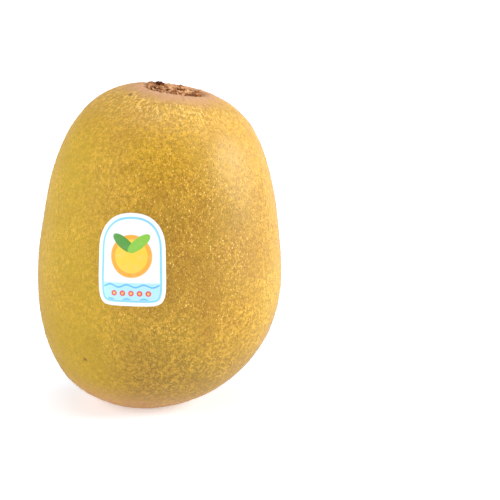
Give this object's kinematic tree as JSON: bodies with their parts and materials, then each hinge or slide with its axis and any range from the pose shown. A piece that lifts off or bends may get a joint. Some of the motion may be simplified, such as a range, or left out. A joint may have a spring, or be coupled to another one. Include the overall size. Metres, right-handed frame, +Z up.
{
  "type": "golden kiwi fruit",
  "caption": "Whole golden kiwi fruit with a dried calyx at the stem end and a small paper label, standing upright on a small flat spot at its blossom end.",
  "frame": {"origin": "in the plane of the flat spot that the fruit stands on, under the middle of the bounding box", "axes": "+Z up, towards the stem end; -Y towards the side with the label; the fruit's own axis leans 8.5 degrees from +Z towards +X"},
  "size_m": [0.0612, 0.0588, 0.082],
  "materials": {
    "kiwi_skin": "thin golden brown skin with a fine short fuzz and pale specks, satin",
    "dried_calyx": "dry, crumbly brown sepals and woody stalk scar, matte",
    "dried_styles": "dry dark brown styles, matte",
    "label_paper": null
  },
  "bodies": {
    "root": {"fruit": "kiwi_skin", "calyx": "dried_calyx", "dried_styles": "dried_styles", "label": "label_paper"}
  },
  "joints": []
}
